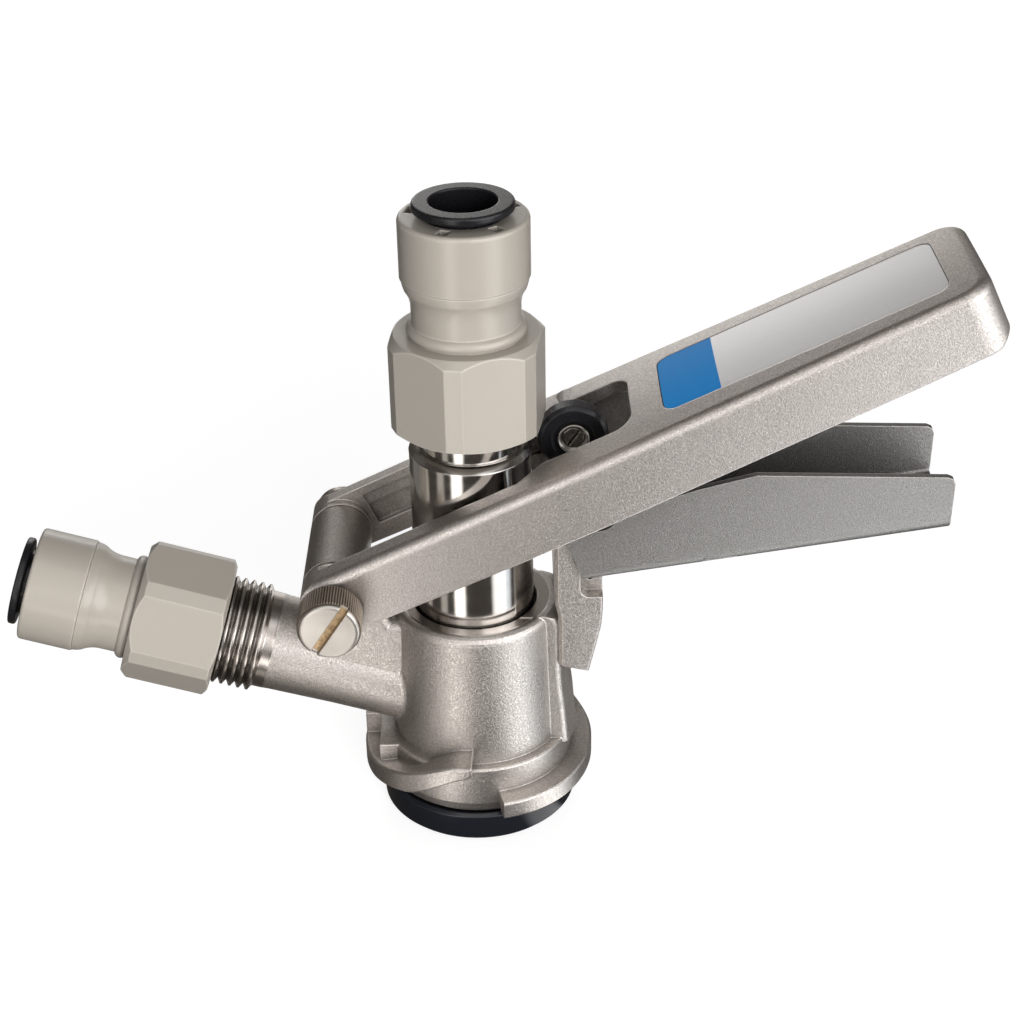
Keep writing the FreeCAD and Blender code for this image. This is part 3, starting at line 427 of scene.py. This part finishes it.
def turned_steel(name, centre, angles, color, rough=0.26, turn=0.0, knurled=False):
    """Lathe-turned steel about its own axis, with a painted sheen, painted highlights on its edges and painted
    brown shade in its recesses, and with the knurled screw's painted zones if asked.
    """
    finish = Finish(name, Metallic=1.0)
    tree = finish.tree
    rings = finish.effect(LATHE, finish.turned_coords(centre, angles), Fineness=3600.0, Turn=turn)
    edge = finish.effect(EDGE, Width=0.00025)
    painted_shade = finish.effect(PAINTED_SHADE, Reach=0.0015)
    # Painted highlight: the sheen's light and dark sectors are mixed into the colour with the bands.
    streaky = calc(tree, "ADD", calc(tree, "MULTIPLY", rings["Tone"], 0.5),
                   calc(tree, "MULTIPLY", rings["Painted_Sheen"], 0.5))
    toned = blend_colors(tree, streaky, shade(color, 0.68), color)
    # Painted highlight: a lighter colour along the outer edges.
    edge_highlighted = tint(tree, edge["Edge"], 0.5, toned, (0.80, 0.78, 0.75))
    # Painted shade: recesses darkened towards brown.
    painted_shading = blend_colors(tree, painted_shade["Depth"], edge_highlighted, (0.20, 0.145, 0.095))
    if knurled:
        painted_shading = knurl_and_slot(finish, rings["Radius"], painted_shading)
    finish.link("Base Color", painted_shading)
    finish.link("Roughness", remap(tree, rings["Tone"], 0.0, 1.0, rough - 0.05, rough + 0.06))
    finish.bump(rings["Height"], 0.00001, edge["Normal"])
    return finish.material


def knurl_and_slot(finish, radius, color):
    """A painted golden reflection in the hinge screw's slot, a painted brown reflection on its knurl and painted
    shade in the knurl's grooves, over its colour.
    """
    tree = finish.tree
    # Painted reflection: a mottled golden brown on the slot's floor.
    floor_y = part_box("pivot_screw")[0][1] + SLOT_DEPTH
    deep = remap(tree, split(tree, finish.coords)["Y"], floor_y, floor_y + 0.0001)
    inner = remap(tree, radius, SLOT_R, SLOT_R - 0.0001)
    mottled = finish.effect(GRAIN, Grain=700.0, Speckle=1500.0)
    slot_reflection_tint = blend_colors(tree, mottled["Tone"], (0.24, 0.165, 0.095), (0.52, 0.38, 0.23))
    color = tint(tree, deep, inner, color, slot_reflection_tint)
    side = remap(tree, radius, SCREW_FACE_R, SCREW_FACE_R + 0.00004)
    # Painted reflection: the knurl's side tinted brown.
    color = tint(tree, side, 0.8, color, (0.40, 0.345, 0.28))
    # Painted shade: the knurl's grooves darkened.
    groove = remap(tree, radius, KNURL_RIDGE_R, KNURL_GROOVE_R)
    return tint(tree, side, groove, color, (0.09, 0.062, 0.042))


def moulded(name, base, edge_highlight_color, roughness, depth, edge_width=0.0004, edge_highlight_share=0.45, specular=0.5):
    """Moulded plastic or rubber: faint skin texture, softened edges with a painted highlight, painted shade in
    corners.
    """
    finish = Finish(name, Specular_IOR_Level=specular)
    tree = finish.tree
    surface = finish.effect(GRAIN, Grain=1500.0, Speckle=2600.0)
    edge = finish.effect(EDGE, Width=edge_width)
    painted_shade = finish.effect(PAINTED_SHADE, Reach=0.003)
    toned = blend_colors(tree, surface["Tone"], shade(base, 0.985), shade(base, 1.015))
    # Painted highlight: a lighter colour along the outer edges.
    edge_highlighted = tint(tree, edge["Edge"], edge_highlight_share, toned, edge_highlight_color)
    # Painted shade: corners and recesses darkened.
    finish.link("Base Color", tint(tree, painted_shade["Depth"], 0.6, edge_highlighted, shade(base, 0.45)))
    finish.link("Roughness", remap(tree, surface["Tone"], 0.0, 1.0, roughness - 0.015, roughness + 0.02))
    finish.bump(surface["Height"], depth, edge["Normal"])
    return finish.material


def label_foil():
    """Plain silver foil with a blue end."""
    finish = Finish("label_foil", Specular_IOR_Level=0.1)
    tree = finish.tree
    along = split(tree, finish.turned_coords(tuple(HINGE), (0.0, -LEVER_TILT, 0.0)))["X"]
    blue = remap(tree, along, LABEL_BLUE_END, LABEL_BLUE_END - 0.0001)
    surface = finish.effect(GRAIN, Grain=1400.0, Speckle=2400.0)
    silver = blend_colors(tree, surface["Tone"], (0.86, 0.86, 0.865), (0.90, 0.90, 0.905))
    ink = blend_colors(tree, surface["Tone"], (0.0, 0.31, 0.86), (0.0, 0.34, 0.92))
    finish.link("Base Color", blend_colors(tree, blue, silver, ink))
    finish.link("Metallic", calc(tree, "MULTIPLY", calc(tree, "SUBTRACT", 1.0, blue), 0.75))
    finish.link("Roughness", remap(tree, surface["Tone"], 0.0, 1.0, 0.44, 0.50))
    finish.bump(surface["Height"], 0.000004)
    return finish.material


def dress_nodes():
    """Gives every CAD node its finish."""
    # The edge colours and edge shares below set the painted highlight along each finish's outer edges.
    casting = cast_steel("body_cast_steel", (0.57, 0.530, 0.50), (0.71, 0.672, 0.64), grain=1700.0,
                         speckle=2700.0, depth=0.000045, edge_highlight_share=0.42, machined=True)
    lever_cast = cast_steel("lever_cast_steel", (0.57, 0.530, 0.503), (0.71, 0.668, 0.64), grain=2300.0,
                            speckle=2500.0, depth=0.000030, edge_highlight_share=0.65, shade_inside=True)
    mirror = polished_steel()
    acetal = moulded("acetal", (0.455, 0.416, 0.362), (0.74, 0.70, 0.63), roughness=0.29, depth=0.000004,
                     edge_width=0.0005, edge_highlight_share=0.75, specular=0.62)
    black = moulded("black_plastic", (0.011, 0.011, 0.013), (0.035, 0.035, 0.039), roughness=0.28,
                    depth=0.000006, specular=0.32)
    rubber = moulded("seal_rubber", (0.010, 0.012, 0.017), (0.03, 0.03, 0.034), roughness=0.24,
                     depth=0.000006, specular=0.45)
    white = moulded("white_plastic", (0.72, 0.72, 0.70), (0.8, 0.8, 0.78), roughness=0.4, depth=0.00001,
                    edge_width=0.0003)
    steel = (0.60, 0.56, 0.52)
    pivot_steel = turned_steel("pivot_steel", tuple(HINGE), ALONG_Y, (0.58, 0.545, 0.505), rough=0.38,
                               turn=0.6, knurled=True)
    roller_steel = turned_steel("roller_steel", on_lever(ROLLER_ON_LEVER), ALONG_Y, (0.34, 0.315, 0.29),
                                rough=0.24)
    stud_steel = turned_steel("stud_steel", on_lever(STUDS_ON_LEVER), ALONG_Y, steel)
    bronze = turned_steel("bronze", tuple(HINGE), ALONG_Y, (0.40, 0.355, 0.30))
    screw_steel = turned_steel("screw_steel", GRIP_SCREWS, ALONG_X, steel)
    finishes = {
        "body_casting": casting, "lever": lever_cast, "lower_grip": sheet_steel(), "probe_tube": mirror,
        "probe_tip": mirror, "pivot_screw": pivot_steel, "pivot_pin": stud_steel, "pivot_bushes": bronze,
        "stud_bushes": bronze, "lever_studs": stud_steel, "roller_bush": roller_steel,
        "roller_screw": roller_steel, "grip_screws": screw_steel, "label_plate": label_foil(),
        "roller": black, "top_fitting_collet": black, "gas_fitting_collet": black,
        "check_ball": white, "ball_cage": white, "barrel_guide_ring": white, "gas_valve_ring": white,
        "gas_valve_spacer": white, "bottom_seal": rubber, "gas_check_valve": rubber, "probe_tip_seal": rubber,
        "barrel_o_ring": rubber, "top_flat_washer": rubber, "gas_flat_washer": rubber,
        "top_fitting_o_ring": rubber, "gas_fitting_o_ring": rubber,
    }
    for side in ("top", "gas"):
        for piece in ("body", "cover", "spacer"):
            finishes[side + "_fitting_" + piece] = acetal
    for name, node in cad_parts.items():
        node.data.materials.clear()
        node.data.materials.append(finishes[name])


# Studio
STRIPS = (
    # bearing in degrees from the front towards the right, half width and soft edge in degrees, level, colour,
    # and how far from the part the strip's light on the floor begins
    (-25.0, 4.5, 8.0, 2.6, (1.0, 0.97, 0.93), 0.030),
    (48.0, 7.0, 10.0, 1.75, (1.0, 0.99, 0.98), 0.0),
    (61.0, 4.0, 9.0, 1.25, (0.86, 0.93, 1.0), 0.030),
    (-56.0, 2.0, 7.0, 0.5, (1.0, 0.95, 0.88), 0.030),
    (118.0, 6.0, 12.0, 0.18, (1.0, 0.98, 0.95), 0.030),
    (-118.0, 6.0, 12.0, 0.14, (1.0, 0.98, 0.95), 0.030),
)
CARDS = (
    # direction, half width and soft edge in degrees, level and colour
    ((0.0, -0.50, 0.866), 12.0, 14.0, 1.4, (1.0, 0.98, 0.96)),
    ((0.0, 0.866, 0.50), 16.0, 22.0, 0.12, (1.0, 0.95, 0.90)),
    ((0.25, -0.87, 0.42), 11.0, 13.0, 1.0, (1.0, 0.98, 0.96)),
    ((0.0, 1.0, 0.0), 14.0, 10.0, 0.9, (1.0, 0.98, 0.95)),
)
ROOM_TONE = (0.070, 0.062, 0.055)


def patch_mask(tree, direction, aim, half, soft):
    """Mask of the directions within a half width of the aim, with a soft edge outside it."""
    outer = math.cos(math.radians(half + soft))
    inner = math.cos(math.radians(half))
    return remap(tree, dot(tree, direction, aim), outer, inner, interpolation="SMOOTHSTEP")


def unit(tree, vector):
    """The vector at length one."""
    node = add(tree, "ShaderNodeVectorMath", operation="NORMALIZE")
    join(tree, (vector, node.inputs[0]))
    return node.outputs[0]


def add_glow(tree, total, mask, level, color):
    """Adds a light patch to the room's colour so far, which is a plain tone at first."""
    lit = add(tree, "ShaderNodeVectorMath", operation="SCALE")
    lit.inputs[0].default_value = tuple(level * part for part in color)
    summed = add(tree, "ShaderNodeVectorMath", operation="ADD")
    join(tree, (mask, lit.inputs["Scale"]), (lit.outputs[0], summed.inputs[0]))
    if isinstance(total, tuple):
        summed.inputs[1].default_value = total
    else:
        join(tree, (total, summed.inputs[1]))
    return summed.outputs[0]


def studio_room_group():
    """What polished metal sees round the part: a dim room with light strips that fade upwards, and soft cards.

    In the world the vector is a direction of length one. On the floor it is a place, so its length tells how far
    from the part a strip's light begins.
    """
    group, given, result = new_group("studio_room", (), (("Room", "NodeSocketColor"),))
    vector = given.outputs["Vector"]
    level_aim = unit(group, flatten(group, vector))
    full_aim = unit(group, vector)
    away = length(group, vector)
    low = remap(group, split(group, full_aim)["Z"], 0.05, 0.30, 1.0, 0.35)
    room = ROOM_TONE
    for bearing, half, soft, level, color, start in STRIPS:
        aim = (math.sin(math.radians(bearing)), -math.cos(math.radians(bearing)), 0.0)
        mask = patch_mask(group, level_aim, aim, half, soft)
        if start:
            mask = calc(group, "MULTIPLY", mask, remap(group, away, start, start + 0.006))
        room = add_glow(group, room, calc(group, "MULTIPLY", mask, low), level, color)
    for aim, half, soft, level, color in CARDS:
        room = add_glow(group, room, patch_mask(group, full_aim, aim, half, soft), level, color)
    join(group, (room, result.inputs["Room"]))
    return group


def rays(tree):
    """Masks of the rays that see the white backdrop and of those that see the room."""
    path = add(tree, "ShaderNodeLightPath").outputs
    return calc(tree, "MAXIMUM", path["Is Camera Ray"], path["Is Transmission Ray"]), path["Is Glossy Ray"]


def floor_material(room):
    """Pale floor that the camera sees as white, with the shadow kept; metal sees the room in it."""
    material = bpy.data.materials.new("pale_floor")
    material.use_nodes = True
    material.cycles.emission_sampling = "NONE"
    tree = material.node_tree
    tree.nodes.clear()
    matte = add(tree, "ShaderNodeBsdfDiffuse", Color=FLOOR_GREY)
    plain = add(tree, "ShaderNodeEmission", Color=WHITE)
    mirrored = add(tree, "ShaderNodeEmission")
    place = add(tree, "ShaderNodeTexCoord")
    around = add(tree, "ShaderNodeGroup", node_tree=room)
    glow = add(tree, "ShaderNodeAddShader")
    chosen = add(tree, "ShaderNodeMixShader")
    out = add(tree, "ShaderNodeOutputMaterial")
    seen, shine = rays(tree)
    join(tree, (calc(tree, "MULTIPLY", seen, FLOOR_GLOW), plain.inputs["Strength"]),
         (place.outputs["Object"], around.inputs["Vector"]), (around.outputs["Room"], mirrored.inputs["Color"]),
         (matte.outputs[0], glow.inputs[0]), (plain.outputs[0], glow.inputs[1]),
         (shine, chosen.inputs[0]), (glow.outputs[0], chosen.inputs[1]),
         (mirrored.outputs[0], chosen.inputs[2]), (chosen.outputs[0], out.inputs["Surface"]))
    return material


def make_floor(room):
    """Large plain floor under the seal."""
    mesh = bpy.data.meshes.new("floor")
    shape = bmesh.new()
    bmesh.ops.create_grid(shape, x_segments=1, y_segments=1, size=6.0)
    shape.to_mesh(mesh)
    shape.free()
    floor = bpy.data.objects.new("floor", mesh)
    scene.collection.objects.link(floor)
    mesh.materials.append(floor_material(room))


def make_world(room):
    """White backdrop for the camera, the room for reflections, and an even pale light on the part."""
    world = bpy.data.worlds.new("studio")
    world.use_nodes = True
    world.cycles.sampling_method = "NONE"
    scene.world = world
    tree = world.node_tree
    plain = tree.nodes["Background"]
    plain.inputs["Color"].default_value = WHITE
    mirrored = add(tree, "ShaderNodeBackground")
    place = add(tree, "ShaderNodeTexCoord")
    around = add(tree, "ShaderNodeGroup", node_tree=room)
    chosen = add(tree, "ShaderNodeMixShader")
    seen, shine = rays(tree)
    strength = calc(tree, "ADD", WORLD_LEVEL, calc(tree, "MULTIPLY", seen, 1.0 - WORLD_LEVEL))
    join(tree, (strength, plain.inputs["Strength"]), (place.outputs["Generated"], around.inputs["Vector"]),
         (around.outputs["Room"], mirrored.inputs["Color"]), (shine, chosen.inputs[0]),
         (plain.outputs[0], chosen.inputs[1]), (mirrored.outputs[0], chosen.inputs[2]),
         (chosen.outputs[0], tree.nodes["World Output"].inputs["Surface"]))


def add_light(name, place, aim, size, watts, matte=True, shine=True):
    """Rectangular soft light aimed at a point, for matte surfaces, for shine or for both."""
    data = bpy.data.lights.new(name, "AREA")
    data.shape = "RECTANGLE"
    data.size, data.size_y = size
    data.energy = watts
    lamp = bpy.data.objects.new(name, data)
    scene.collection.objects.link(lamp)
    lamp.location = place
    lamp.visible_camera = False
    lamp.visible_diffuse = matte
    lamp.visible_glossy = shine
    lamp.rotation_euler = (Vector(aim) - Vector(place)).to_track_quat("-Z", "Y").to_euler()


def light_studio():
    """World, floor and soft lights."""
    room = studio_room_group()
    make_world(room)
    make_floor(room)
    add_light("key_softbox", (0.80, -0.62, 0.26), (0.02, 0.0, 0.06), (1.40, 1.10), 12.5, matte=False)
    add_light("front_softbox", (0.28, -0.98, 0.31), (0.0, 0.0, 0.06), (0.50, 0.50), 11.0, shine=False)
    add_light("fill_softbox", (-0.45, -0.95, 0.35), (0.0, 0.0, 0.06), (0.90, 0.70), 2.4, matte=False)
    add_light("roof_card", (-0.19, 1.08, 0.39), (0.10, 0.0, 0.12), (0.42, 0.22), 0.70)
    add_light("rear_softbox", (0.0, 1.05, 0.24), (0.0, 0.0, 0.08), (0.60, 0.40), 5.0, shine=False)
    scene.view_settings.view_transform = "Standard"


place_camera()
dress_nodes()
light_studio()
